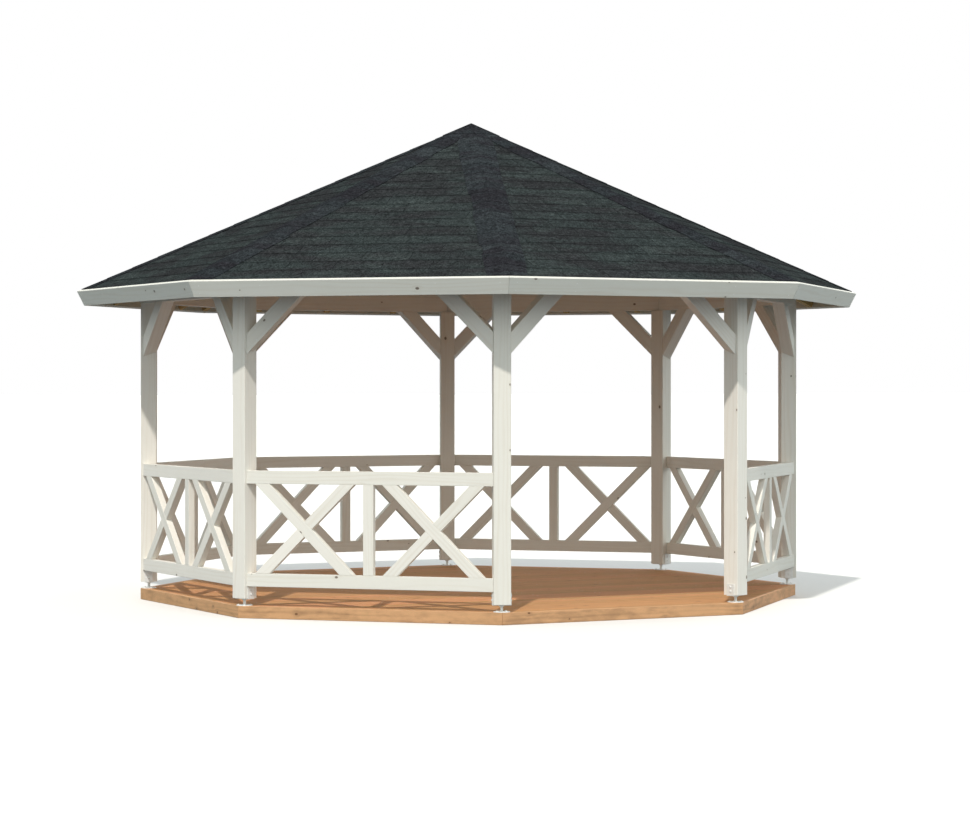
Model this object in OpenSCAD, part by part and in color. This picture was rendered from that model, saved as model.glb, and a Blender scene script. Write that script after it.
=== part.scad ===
// Eight-sided garden gazebo: a low timber deck, eight posts on steel feet,
// cross-braced railings on seven sides, and a pyramid roof with deep eaves.
// Origin: centre of the deck on the ground. +Z is up. The open entrance faces -Y.

/* [Plan] */
// Radius of the circle through the post centres
post_circle_r = 2350; // [1950:10:3000]
// How far the deck's edge lies beyond the base plates of the post feet
deck_margin = 1.5; // [0.5:0.5:30]

/* [Deck] */
// Height of the deck above the ground
deck_h = 80; // [70:1:150]
// Thickness of the rim boards
rim_t = 28; // [18:1:45]
// Thickness of the floor boards
floor_t = 28; // [18:1:40]
// Width of a floor joist
joist_w = 45; // [35:1:70]
// Distance between joist centres
joist_pitch = 500; // [300:10:600]

/* [Posts] */
// Width of a square post
post_w = 115; // [90:1:140]
// Chamfer on the long edges of a post
post_chamfer = 3; // [1:0.5:8]
// Height from the deck to the bottom of a post
foot_h = 50; // [30:1:80]
// Clear height from the deck to the underside of the wall beams
head_h = 2070; // [1700:10:2500]

/* [Post feet] */
// Diameter of the round base plate
foot_plate_d = 110; // [80:1:140]
// Diameter of the foot's steel rod
foot_rod_d = 20; // [12:1:30]
// Thickness of the base plate and the post shoe
foot_t = 5; // [3:0.5:8]
// Width of a side tab of the post shoe
tab_w = 60; // [40:1:80]
// Gap between the shoe's side tabs and the bottom rail above them
tab_gap = 5; // [2:1:40]

/* [Railings] */
// Height of the handrail's top above the deck
handrail_top = 905; // [800:5:1100]
// Height of the bottom rail's underside above the deck
bottom_rail_low = 132; // [110:1:200]
// Height of a rail
rail_h = 88; // [60:1:110]
// Thickness of the rails and the crosses
rail_t = 45; // [28:1:58]
// How far the railing's front face lies outside the post centres
rail_front_out = 60; // [45:1:70]
// Width of the centre stile and of the cross bars
bar_w = 72; // [45:1:90]
// Distance along a rail from the stile or the post to the centre line of a cross bar
cross_inset = 113; // [80:1:180]

/* [Knee braces] */
// Width of a knee brace
brace_w = 98; // [70:1:120]
// Distance below the beams at which a brace's lower edge meets the post
brace_drop = 392; // [300:5:450]

/* [Wall beams] */
// Height of a wall beam at its outer face
beam_h = 155; // [110:1:200]
// Thickness of the wall beams and the knee braces
beam_t = 88; // [50:1:100]

/* [Joints] */
// Gap at each mitred joint of beams, rim boards, fascias and roof panels
seam = 1; // [0.5:0.1:3]
// Gap where one timber is set against another
fit = 0.3; // [0.1:0.1:0.5]

/* [Roof] */
// Slope of the roof sides in degrees
pitch = 25; // [18:1:32]
// Width of the hip rafters and of the common rafters
rafter_w = 45; // [35:1:70]
// Depth of a rafter, square to the slope
rafter_d = 85; // [70:1:100]
// Distance between rafter centres
rafter_pitch = 600; // [450:10:700]
// Thickness of the roof boards
roof_board_t = 19; // [15:1:25]
// Overall thickness of the shingle layer
shingle_t = 5; // [3:0.5:8]
// Level distance from the post centres to the fascia's outer top edge
overhang = 481; // [350:1:600]
// Height of the fascia board, square to the slope
fascia_h = 115; // [100:1:140]
// Thickness of the fascia board
fascia_t = 28; // [18:1:35]
// How far the fascia's top edge stands above the shingles
fascia_lip = 4; // [1:0.5:10]
// How much wider each face of the king block is than the hip rafter that meets it
king_spare = 13; // [4:1:40]
// Depth of the king block below the roof boards, at its middle
king_h = 260; // [200:5:400]

/* [Hip and apex caps] */
// Width of one wing of a hip cap, from the hip line
hip_cap_w = 130; // [80:5:160]
// Thickness of a hip cap and of the apex cap
cap_t = 5; // [3:0.5:8]
// Radius of the apex cap, measured to its corners
apex_cap_r = 210; // [150:5:300]

/* [Hidden] */
SIDES = 8;
side_angle = 360 / SIDES;
half_angle = side_angle / 2;

// Level distances from the centre, each measured square to a side
post_line = post_circle_r * cos(half_angle);
deck_edge = post_line + foot_plate_d / 2 + deck_margin;
rail_front = post_line + rail_front_out;
eave_edge = post_line + overhang;
far = 2 * eave_edge;
// Half the clear width between two posts, at the railings' front
bay_half = rail_front * tan(half_angle) - post_w / 2 / cos(half_angle);
// Distance from the middle of a railing to the middle of each cross, and the
// sideways run of a cross bar between the rails
cross_x = (bar_w / 2 + bay_half) / 2;
cross_run = bay_half - bar_w / 2 - 2 * cross_inset;
// Distance across the flats of the king block under the apex
king_w = (rafter_w + king_spare) / tan(half_angle);

// Levels
post_z = deck_h + foot_h;
beam_z = deck_h + head_h;
handrail_z = deck_h + handrail_top - rail_h;
bottom_rail_z = deck_h + bottom_rail_low;
cross_low_z = bottom_rail_z + rail_h;
cross_rise = handrail_z - cross_low_z;
tab_h = bottom_rail_z - tab_gap - post_z;

// The roof is drawn in planes parallel to a slope. Lift is the distance square
// to the slope, above the rafter tops, and the planes of one lift meet at the apex.
rafter_low = -rafter_d;
beam_top = rafter_low - fit;
board_top = roof_board_t;
shingle_top = board_top + shingle_t;
hip_cap_top = shingle_top + cap_t;
apex_cap_top = hip_cap_top + cap_t;
fascia_top = shingle_top + fascia_lip;
fascia_low = fascia_top - fascia_h;

// The beams' bevelled top is set just under the rafters, and rises from beam_h
beam_edge_run = (rail_front - beam_top * sin(pitch)) / cos(pitch);
roof_z = beam_z + beam_h + beam_edge_run * sin(pitch) - beam_top * cos(pitch);
// Length down the slope, from the apex to the fascia's outer face
eave_run = (eave_edge - fascia_top * sin(pitch)) / cos(pitch);
slope_run = eave_run - fascia_t;

WOOD = "ivory";
DECK_WOOD = "peru";
STEEL = "silver";
ROOF_WOOD = "burlywood";
FELT = "darkslategray";

// ---- Shared shapes ----

// Turns its children to face side k: side 0 is the entrance, at -Y
module at_side(k) {
  rotate([0, 0, k * side_angle])
    children();
}

// Turns its children to the corner between side k and side k + 1
module at_corner(k) {
  rotate([0, 0, (k + 0.5) * side_angle])
    children();
}

// Upright octagonal prism with its flats square to the sides
module octagon_prism(apothem, z0, z1) {
  translate([0, 0, z0])
    rotate([0, 0, half_angle])
      cylinder(h = z1 - z0, r = apothem / cos(half_angle), $fn = SIDES);
}

// Upright wedge between two neighbouring corners, cut back by inset on each flank
module bay_prism(inset, z0, z1) {
  tip = inset / sin(half_angle);
  half_w = far * tan(half_angle) - inset / cos(half_angle);
  translate([0, 0, z0])
    linear_extrude(height = z1 - z0)
      polygon([[0, -tip], [-half_w, -far], [half_w, -far]]);
}

// Flat layer of one roof slope between two lifts and two distances down the slope
module slope_layer(low, top, width, run0, run1) {
  translate([0, 0, roof_z])
    rotate([pitch, 0, 0])
      translate([-width / 2, -run1, low])
        cube([width, run1 - run0, top - low]);
}

// Whole pyramid below the planes of one lift
module roof_pyramid(lift) {
  intersection_for(k = [0:SIDES - 1])
    at_side(k)
      slope_layer(-far, lift, 2 * far, -far, far);
}

// Thin pyramid shell between two lifts
module roof_shell(low, top) {
  difference() {
    roof_pyramid(top);
    roof_pyramid(low);
  }
}

// A layer of roof slope that fills one bay from hip to hip
module roof_panel(low, top, run0, run1) {
  intersection() {
    bay_prism(seam / 2, 0, 2 * roof_z);
    slope_layer(low, top, far, run0, run1);
  }
}

// ---- Deck ----

module floor_joists() {
  room = deck_edge - rim_t - fit;
  rows = floor((room - joist_w) / joist_pitch);
  color(DECK_WOOD)
    intersection() {
      octagon_prism(room, 0, deck_h - floor_t);
      for (i = [-rows:rows])
        translate([i * joist_pitch - joist_w / 2, -room, 0])
          cube([joist_w, 2 * room, deck_h - floor_t]);
    }
}

module floor_rim() {
  color(DECK_WOOD)
    for (k = [0:SIDES - 1])
      at_side(k)
        intersection() {
          bay_prism(seam / 2, 0, deck_h);
          translate([-far, -deck_edge, 0])
            cube([2 * far, rim_t, deck_h]);
        }
}

module floor_boards() {
  color(DECK_WOOD)
    octagon_prism(deck_edge - rim_t - fit, deck_h - floor_t, deck_h);
}

// ---- Posts and their feet ----

module post_shoe() {
  shoe_w = post_w + 2 * foot_t;
  translate([-shoe_w / 2, -tab_w / 2, post_z - foot_t])
    difference() {
      cube([shoe_w, tab_w, foot_t + tab_h]);
      translate([foot_t, -1, foot_t])
        cube([post_w, tab_w + 2, tab_h + 1]);
    }
}

module post_feet() {
  color(STEEL)
    for (k = [0:SIDES - 1])
      at_corner(k)
        translate([0, -post_circle_r, 0]) {
          translate([0, 0, deck_h])
            cylinder(h = foot_t, d = foot_plate_d, $fn = 64);
          translate([0, 0, deck_h + foot_t / 2])
            cylinder(h = foot_h - foot_t, d = foot_rod_d, $fn = 32);
          translate([0, 0, post_z - 2.4 * foot_t])
            cylinder(h = 1.6 * foot_t, d = 1.8 * foot_rod_d, $fn = 6);
          post_shoe();
        }
}

// Post at the corner between side k and side k + 1
module post(k) {
  half = post_w / 2;
  cut = half - post_chamfer;
  color(WOOD)
    at_corner(k)
      translate([0, -post_circle_r, post_z])
        linear_extrude(height = beam_z - post_z)
          polygon([
            [-cut, -half], [cut, -half], [half, -cut], [half, cut],
            [cut, half], [-cut, half], [-half, cut], [-half, -cut]
          ]);
}

// ---- Railings ----

// Outline of a bar of the given width between two points
module bar_outline(from, to, width) {
  run = to - from;
  side = [-run[1], run[0]] * width / 2 / norm(run);
  polygon([from + side, from - side, to - side, to + side]);
}

// One slanted bar of a cross, drawn past the rails at both ends; lean is 1 or -1
module slanted_bar(middle, lean, width) {
  centre_z = (cross_low_z + handrail_z) / 2;
  bar_outline(
    [middle - lean * cross_run, centre_z - cross_rise],
    [middle + lean * cross_run, centre_z + cross_rise],
    width
  );
}

// A cross: one bar runs through, and two half bars are cut to fit against it
module cross_outline(middle) {
  intersection() {
    translate([-far, cross_low_z + fit])
      square([2 * far, cross_rise - 2 * fit]);
    union() {
      slanted_bar(middle, -1, bar_w);
      difference() {
        slanted_bar(middle, 1, bar_w);
        slanted_bar(middle, -1, bar_w + 2 * fit);
      }
    }
  }
}

// Rails, centre stile and crosses, each set against the next with a small gap
module railing_outline() {
  for (low = [bottom_rail_z, handrail_z])
    translate([-far, low])
      square([2 * far, rail_h]);
  translate([-bar_w / 2, cross_low_z + fit])
    square([bar_w, cross_rise - 2 * fit]);
  for (middle = [-cross_x, cross_x])
    cross_outline(middle);
}

// Upright board cut from an outline, its front at the railing line
module wall_board(thickness) {
  translate([0, -rail_front + thickness, 0])
    rotate([90, 0, 0])
      linear_extrude(height = thickness)
        children();
}

module railing(k) {
  color(WOOD)
    at_side(k)
      intersection() {
        bay_prism(post_w / 2 + fit, 0, beam_z);
        wall_board(rail_t)
          railing_outline();
      }
}

// ---- Knee braces: two on each side, from the posts to the beam ----

module brace_outline() {
  low = [bay_half, beam_z - brace_drop];
  depth = [0, brace_w * sqrt(2)];
  along = [-1, 1] * brace_drop * 1.5;
  beyond = [1, -1] * post_w;
  polygon([low + beyond, low + along, low + along + depth, low + beyond + depth]);
}

module braces(k) {
  color(WOOD)
    at_side(k)
      for (flip = [0, 1])
        mirror([flip, 0, 0])
          intersection() {
            bay_prism(post_w / 2 + fit, 0, beam_z);
            wall_board(beam_t)
              brace_outline();
          }
}

// ---- Wall beams, bevelled on top to carry the rafters ----

module beam(k) {
  color(WOOD)
    at_side(k)
      intersection() {
        bay_prism(seam / 2, beam_z, roof_z);
        slope_layer(-far, beam_top, 2 * far, -far, far);
        translate([-far, -rail_front, beam_z])
          cube([2 * far, beam_t, roof_z]);
      }
}

// ---- Roof timbers ----

module hip_rafters() {
  // The hip line slopes less than the roof sides; its own plane is square to the hip
  hip_pitch = atan(tan(pitch) * cos(half_angle));
  hip_drop = rafter_d / cos(pitch);
  color(ROOF_WOOD)
    for (k = [0:SIDES - 1])
      intersection() {
        at_corner(k)
          translate([0, 0, roof_z - hip_drop])
            rotate([hip_pitch, 0, 0])
              translate([-rafter_w / 2, -far, 0])
                cube([rafter_w, far, rafter_d * 2]);
        at_corner(k)
          translate([-rafter_w, -far, 0])
            cube([2 * rafter_w, far - king_w / 2 - fit, roof_z]);
        at_side(k)
          slope_layer(-far, 0, 2 * far, -far, slope_run - fit);
        at_side(k + 1)
          slope_layer(-far, 0, 2 * far, -far, slope_run - fit);
      }
}

module common_rafters() {
  eave_half = slope_run * cos(pitch) * tan(half_angle);
  rows = floor((eave_half - 2 * rafter_w) / rafter_pitch);
  king_corner = king_w / 2 / cos(half_angle) + fit;
  color(ROOF_WOOD)
    for (k = [0:SIDES - 1])
      at_side(k)
        intersection() {
          bay_prism(rafter_w / 2 + fit, 0, roof_z);
          translate([-far, -far, 0])
            cube([2 * far, far - king_corner, roof_z]);
          for (i = [-rows:rows])
            translate([i * rafter_pitch, 0, 0])
              slope_layer(rafter_low, 0, rafter_w, 0, slope_run - fit);
        }
}

module king_block() {
  color(ROOF_WOOD)
    intersection() {
      roof_pyramid(0);
      translate([0, 0, roof_z - king_h])
        cylinder(h = king_h, r = king_w / 2 / cos(half_angle), $fn = SIDES);
    }
}

// ---- Roof skin ----

module roof_boards() {
  color(ROOF_WOOD)
    for (k = [0:SIDES - 1])
      at_side(k)
        roof_panel(fit, board_top, 0, slope_run - fit);
}

module shingles() {
  color(FELT)
    for (k = [0:SIDES - 1])
      at_side(k)
        roof_panel(board_top + fit, shingle_top, 0, slope_run - fit);
}

// Plan outline of the cap over one hip, in the corner's own directions
module hip_cap_outline() {
  near = cap_t;
  taper = tan(half_angle);
  gap = seam / 2 / cos(half_angle);
  full = (hip_cap_w + gap) / taper;
  polygon([
    [0, -near], [near * taper - gap, -near], [hip_cap_w, -full], [hip_cap_w, -far],
    [-hip_cap_w, -far], [-hip_cap_w, -full], [gap - near * taper, -near]
  ]);
}

module hip_caps() {
  color(FELT)
    for (k = [0:SIDES - 1])
      intersection() {
        at_corner(k)
          linear_extrude(height = 2 * roof_z)
            hip_cap_outline();
        difference() {
          intersection() {
            at_side(k)
              slope_layer(-far, hip_cap_top, 2 * far, -far, slope_run - fit);
            at_side(k + 1)
              slope_layer(-far, hip_cap_top, 2 * far, -far, slope_run - fit);
          }
          roof_pyramid(shingle_top + fit);
        }
      }
}

module apex_cap() {
  color(FELT)
    intersection() {
      roof_shell(hip_cap_top + fit, apex_cap_top);
      octagon_prism(apex_cap_r * cos(half_angle), 0, 2 * roof_z);
    }
}

module fascia() {
  color(WOOD)
    for (k = [0:SIDES - 1])
      at_side(k)
        roof_panel(fascia_low, fascia_top, slope_run, eave_run);
}

floor_joists();
floor_rim();
floor_boards();
post_feet();
post(7);  // post_1
post(0);  // post_2
post(1);  // post_3
post(2);  // post_4
post(3);  // post_5
post(4);  // post_6
post(5);  // post_7
post(6);  // post_8
railing(1);  // railing_1
railing(2);  // railing_2
railing(3);  // railing_3
railing(4);  // railing_4
railing(5);  // railing_5
railing(6);  // railing_6
railing(7);  // railing_7
braces(0);  // braces_0
braces(1);  // braces_1
braces(2);  // braces_2
braces(3);  // braces_3
braces(4);  // braces_4
braces(5);  // braces_5
braces(6);  // braces_6
braces(7);  // braces_7
beam(0);  // beam_0
beam(1);  // beam_1
beam(2);  // beam_2
beam(3);  // beam_3
beam(4);  // beam_4
beam(5);  // beam_5
beam(6);  // beam_6
beam(7);  // beam_7
hip_rafters();
common_rafters();
king_block();
roof_boards();
shingles();
hip_caps();
apex_cap();
fascia();
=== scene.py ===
"""Looks of an eight-sided timber garden gazebo, built round its fixed CAD frame.

Lengths are metres. Side k faces the direction k * 45 degrees round from -Y, where
the open entrance is, and corner k lies between side k and side k + 1. A roof side is
drawn in its own directions: x along the eave, run down the slope from the apex, and
lift square to the slope, above the top of the shingle layer.
"""

import math
import random

import bmesh
import bpy
from mathutils import Matrix, Vector


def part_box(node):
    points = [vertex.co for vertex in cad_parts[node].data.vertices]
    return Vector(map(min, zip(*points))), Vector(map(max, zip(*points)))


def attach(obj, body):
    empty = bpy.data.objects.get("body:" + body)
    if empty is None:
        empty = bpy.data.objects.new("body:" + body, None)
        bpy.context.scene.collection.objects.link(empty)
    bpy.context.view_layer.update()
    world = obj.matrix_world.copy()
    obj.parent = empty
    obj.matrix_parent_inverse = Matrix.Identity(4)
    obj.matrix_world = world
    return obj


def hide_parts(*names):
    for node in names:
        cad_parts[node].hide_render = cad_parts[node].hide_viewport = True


bl_info = {
    "name": "Garden gazebo",
    "version": (1, 0, 0),
    "blender": (4, 5, 0),
    "location": "View3D > Sidebar > Gazebo",
    "description": "Timbers, shingles, fittings and stage of an eight-sided garden gazebo",
    "category": "Add Mesh",
}

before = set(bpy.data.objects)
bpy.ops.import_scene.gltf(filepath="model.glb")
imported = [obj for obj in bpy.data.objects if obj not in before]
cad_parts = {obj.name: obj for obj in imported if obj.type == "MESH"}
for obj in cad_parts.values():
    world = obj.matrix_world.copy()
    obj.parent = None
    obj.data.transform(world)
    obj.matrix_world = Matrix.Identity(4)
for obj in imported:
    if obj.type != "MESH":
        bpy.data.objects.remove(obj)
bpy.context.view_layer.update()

SIDES = 8
SIDE_TURN = 2 * math.pi / SIDES
HALF_TURN = SIDE_TURN / 2
BODY = "root"
FLOOR_REACH = 400.0
PLANK_EDGE = 0.003
ROOF_BOARD_EDGE = 0.0016
ROOF_BOARD_GAP = 0.0008


# ---------------------------------------------------------------- the frame's own sizes


def roof_slope():
    """Slope angle of a roof side and the height at which its shingle plane meets the axis."""
    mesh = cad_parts["shingles"].data
    upper = [p for p in mesh.polygons if p.normal.z > 0.5]
    front = [p for p in upper if abs(p.normal.x) < 0.01 and p.normal.y < -0.1]
    face = max(front, key=lambda p: p.area)
    point = mesh.vertices[face.vertices[0]].co
    slope = math.atan2(-face.normal.y, face.normal.z)
    return slope, point.z - point.y * math.tan(slope)


def longest_run():
    """Distance down the slope from the apex to the lower end of the shingles."""
    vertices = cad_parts["shingles"].data.vertices
    return max(-v.co.y * math.cos(SLOPE) + (ROOF_Z - v.co.z) * math.sin(SLOPE) for v in vertices)


SLOPE, ROOF_Z = roof_slope()
EAVE_RUN = longest_run()
# Lifts over the top of the shingle layer: a tab's butt, a hip cap's butt and head, and the apex cap
TOP_LIFT = 0.0021
HIP_BUTT_LIFT = 0.0074
HIP_HEAD_LIFT = 0.0046
APEX_LIFT = 0.0098
APEX_THICKNESS = 0.0023
# Number of the apex cap in its grain; the shingles and hip caps have the lower ones
APEX_NUMBER = 30001
# How far up the slope a tab runs beyond the two courses that cover it
TAB_OVERLAP = 0.03
# How far the fascia's outer face lies beyond the shingles' lower end
FASCIA_FACE = 0.0283
# Tint of the hip and apex caps against the other shingles
HIP_TINT = (0.82, 0.78, 0.86)
DECK_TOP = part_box("floor_boards")[1][2]
DECK_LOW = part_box("floor_boards")[0][2]
DECK_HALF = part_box("floor_boards")[1][1]
POST_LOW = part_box("post_1")[0][2]
POST_CENTRE = (Vector(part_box("post_2")[0]) + Vector(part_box("post_2")[1])) / 2
POST_RING = math.hypot(POST_CENTRE.x, POST_CENTRE.y)
SHOE_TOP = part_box("post_feet")[1][2]
APEX_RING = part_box("apex_cap")[1][1] / math.cos(HALF_TURN)


def side_turn(k):
    """Rotation that takes the entrance side to side k."""
    return Matrix.Rotation(k * SIDE_TURN, 4, "Z")


def corner_turn(k):
    """Rotation that takes the direction -Y to the corner between side k and side k + 1."""
    return Matrix.Rotation((k + 0.5) * SIDE_TURN, 4, "Z")


def roof_point(x, run, lift):
    """A point on the entrance side of the roof."""
    return Vector(
        (
            x,
            -run * math.cos(SLOPE) - lift * math.sin(SLOPE),
            ROOF_Z - run * math.sin(SLOPE) + lift * math.cos(SLOPE),
        )
    )


def half_width(run, lift, inset):
    """Half the width of a roof side at that run, kept back from the hips by inset."""
    out = run * math.cos(SLOPE) + lift * math.sin(SLOPE)
    return out * math.tan(HALF_TURN) - inset / math.cos(HALF_TURN)


# ---------------------------------------------------------------- settings


class TimberSettings(bpy.types.PropertyGroup):
    """Sizes and colours of the timbers."""

    edge: bpy.props.FloatProperty(
        name="Edge rounding",
        description="Rounding of planed timber edges",
        default=0.0025,
        unit="LENGTH",
    )
    post_edge: bpy.props.FloatProperty(
        name="Post edge rounding", description="Rounding of post edges", default=0.0012, unit="LENGTH"
    )
    plank_width: bpy.props.FloatProperty(
        name="Deck board width", description="Width of a deck board", default=0.118, unit="LENGTH"
    )
    plank_gap: bpy.props.FloatProperty(
        name="Deck board gap",
        description="Gap between two deck boards",
        default=0.005,
        unit="LENGTH",
    )
    soffit_width: bpy.props.FloatProperty(
        name="Roof board width", description="Width of a roof board", default=0.115, unit="LENGTH"
    )
    glaze: bpy.props.FloatVectorProperty(
        name="Glaze",
        description="White glaze on the frame",
        default=(0.86, 0.84, 0.785),
        subtype="COLOR",
    )
    glaze_grain: bpy.props.FloatVectorProperty(
        name="Glaze over grain",
        description="Glaze where the grain shows through",
        default=(0.68, 0.61, 0.50),
        subtype="COLOR",
    )
    # Painted shade: the frame's white glaze, darker and greyer on the fascia
    fascia: bpy.props.FloatVectorProperty(
        name="Fascia glaze",
        description="Greyer glaze on the fascia",
        default=(0.765, 0.765, 0.715),
        subtype="COLOR",
    )
    deck: bpy.props.FloatVectorProperty(
        name="Deck", description="Stained deck boards", default=(0.645, 0.33, 0.15), subtype="COLOR"
    )
    rim: bpy.props.FloatVectorProperty(
        name="Deck rim",
        description="Stained boards round the deck",
        default=(0.77, 0.425, 0.222),
        subtype="COLOR",
    )
    raw: bpy.props.FloatVectorProperty(
        name="Raw timber",
        description="Untreated roof timber",
        default=(0.66, 0.46, 0.21),
        subtype="COLOR",
    )


class RoofSettings(bpy.types.PropertyGroup):
    """Sizes and colours of the shingles."""

    course: bpy.props.FloatProperty(
        name="Course",
        description="Exposed height of a shingle course",
        default=0.145,
        unit="LENGTH",
    )
    tab_width: bpy.props.FloatProperty(
        name="Tab width", description="Width of a shingle tab", default=0.333, unit="LENGTH"
    )
    slot: bpy.props.FloatProperty(
        name="Slot", description="Gap between two tabs", default=0.005, unit="LENGTH"
    )
    felt_thickness: bpy.props.FloatProperty(
        name="Felt thickness", description="Thickness of a shingle", default=0.0022, unit="LENGTH"
    )
    cap_course: bpy.props.FloatProperty(
        name="Hip course", description="Exposed length of a hip cap", default=0.2, unit="LENGTH"
    )
    cap_wing: bpy.props.FloatProperty(
        name="Hip wing",
        description="Width of a hip cap from the hip line",
        default=0.13,
        unit="LENGTH",
    )
    felt: bpy.props.FloatVectorProperty(
        name="Felt",
        description="Main colour of the granules",
        default=(0.0315, 0.0392, 0.0402),
        subtype="COLOR",
    )
    felt_dark: bpy.props.FloatVectorProperty(
        name="Dark felt",
        description="Dark blend of the granules",
        default=(0.0268, 0.0285, 0.0308),
        subtype="COLOR",
    )
    felt_light: bpy.props.FloatVectorProperty(
        name="Light felt",
        description="Light blend of the granules",
        default=(0.0500, 0.0620, 0.0610),
        subtype="COLOR",
    )


class FootSettings(bpy.types.PropertyGroup):
    """Sizes and colour of the steel post feet."""

    plate_radius: bpy.props.FloatProperty(
        name="Plate radius", description="Radius of the base plate", default=0.055, unit="LENGTH"
    )
    steel: bpy.props.FloatProperty(
        name="Steel thickness", description="Thickness of the plates", default=0.005, unit="LENGTH"
    )
    rod_radius: bpy.props.FloatProperty(
        name="Rod radius",
        description="Outer radius of the threaded rod",
        default=0.010,
        unit="LENGTH",
    )
    thread_pitch: bpy.props.FloatProperty(
        name="Thread pitch",
        description="Rise of one turn of the thread",
        default=0.0025,
        unit="LENGTH",
    )
    nut_radius: bpy.props.FloatProperty(
        name="Nut radius", description="Corner radius of the nut", default=0.018, unit="LENGTH"
    )
    tab_width: bpy.props.FloatProperty(
        name="Tab width", description="Width of a side tab of the shoe", default=0.06, unit="LENGTH"
    )
    post_width: bpy.props.FloatProperty(
        name="Post width",
        description="Width of a post inside the shoe",
        default=0.115,
        unit="LENGTH",
    )
    zinc: bpy.props.FloatVectorProperty(
        name="Zinc", description="Galvanised steel", default=(0.90, 0.90, 0.88), subtype="COLOR"
    )


class StageSettings(bpy.types.PropertyGroup):
    """Camera, light and floor."""

    camera_place: bpy.props.FloatVectorProperty(
        name="Camera place",
        description="Where the camera stands",
        default=(-9.324, -18.053, 1.553),
        subtype="TRANSLATION",
    )
    camera_turn: bpy.props.FloatVectorProperty(
        name="Camera turn",
        description="Turn of the camera",
        default=(math.radians(90), 0, math.radians(-27.32)),
        subtype="EULER",
    )
    lens: bpy.props.FloatProperty(
        name="Lens", description="Focal length in millimetres", default=102.75
    )
    shift: bpy.props.FloatVectorProperty(
        name="Shift",
        description="Sideways and upward lens shift",
        default=(0.0140, -0.0322),
        size=2,
    )
    sun_from: bpy.props.FloatVectorProperty(
        name="Sun from",
        description="Direction towards the key light",
        default=(-0.3745, -0.5007, 0.7804),
    )
    sun_strength: bpy.props.FloatProperty(
        name="Sun strength", description="Strength of the key light", default=2.38
    )
    sun_angle: bpy.props.FloatProperty(
        name="Sun angle",
        description="Apparent size of the key light",
        default=math.radians(1.6),
        subtype="ANGLE",
    )
    sun_color: bpy.props.FloatVectorProperty(
        name="Sun colour",
        description="Colour of the key light",
        default=(1.0, 0.955, 0.885),
        subtype="COLOR",
    )
    fill_low: bpy.props.FloatVectorProperty(
        name="Low fill",
        description="Light from near the horizon",
        default=(0.90, 0.99, 0.99),
        subtype="COLOR",
    )
    fill_middle: bpy.props.FloatVectorProperty(
        name="Middle fill",
        description="Light from halfway up",
        default=(1.24, 1.28, 1.22),
        subtype="COLOR",
        max=4.0,
    )
    fill_high: bpy.props.FloatVectorProperty(
        name="High fill",
        description="Light from overhead",
        default=(0.38, 0.42, 0.46),
        subtype="COLOR",
    )
    fill_right: bpy.props.FloatProperty(
        name="Right fill", description="How much stronger the fill is on the +X side", default=0.22
    )
    backdrop: bpy.props.FloatVectorProperty(
        name="Backdrop",
        description="Colour behind the building",
        default=(1.0, 1.0, 1.0),
        subtype="COLOR",
    )
    floor: bpy.props.FloatVectorProperty(
        name="Floor",
        description="Colour of the pale floor",
        default=(0.88, 0.88, 0.88),
        subtype="COLOR",
    )
    floor_bounce: bpy.props.FloatVectorProperty(
        name="Floor bounce",
        description="Colour in which the floor throws light back",
        default=(0.12, 0.142, 0.16),
        subtype="COLOR",
    )


def timber():
    """The timber settings."""
    return bpy.context.scene.gazebo_timber


def roof():
    """The shingle settings."""
    return bpy.context.scene.gazebo_roof


def feet():
    """The post foot settings."""
    return bpy.context.scene.gazebo_feet


def stage():
    """The stage settings."""
    return bpy.context.scene.gazebo_stage


# ---------------------------------------------------------------- finishes


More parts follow.
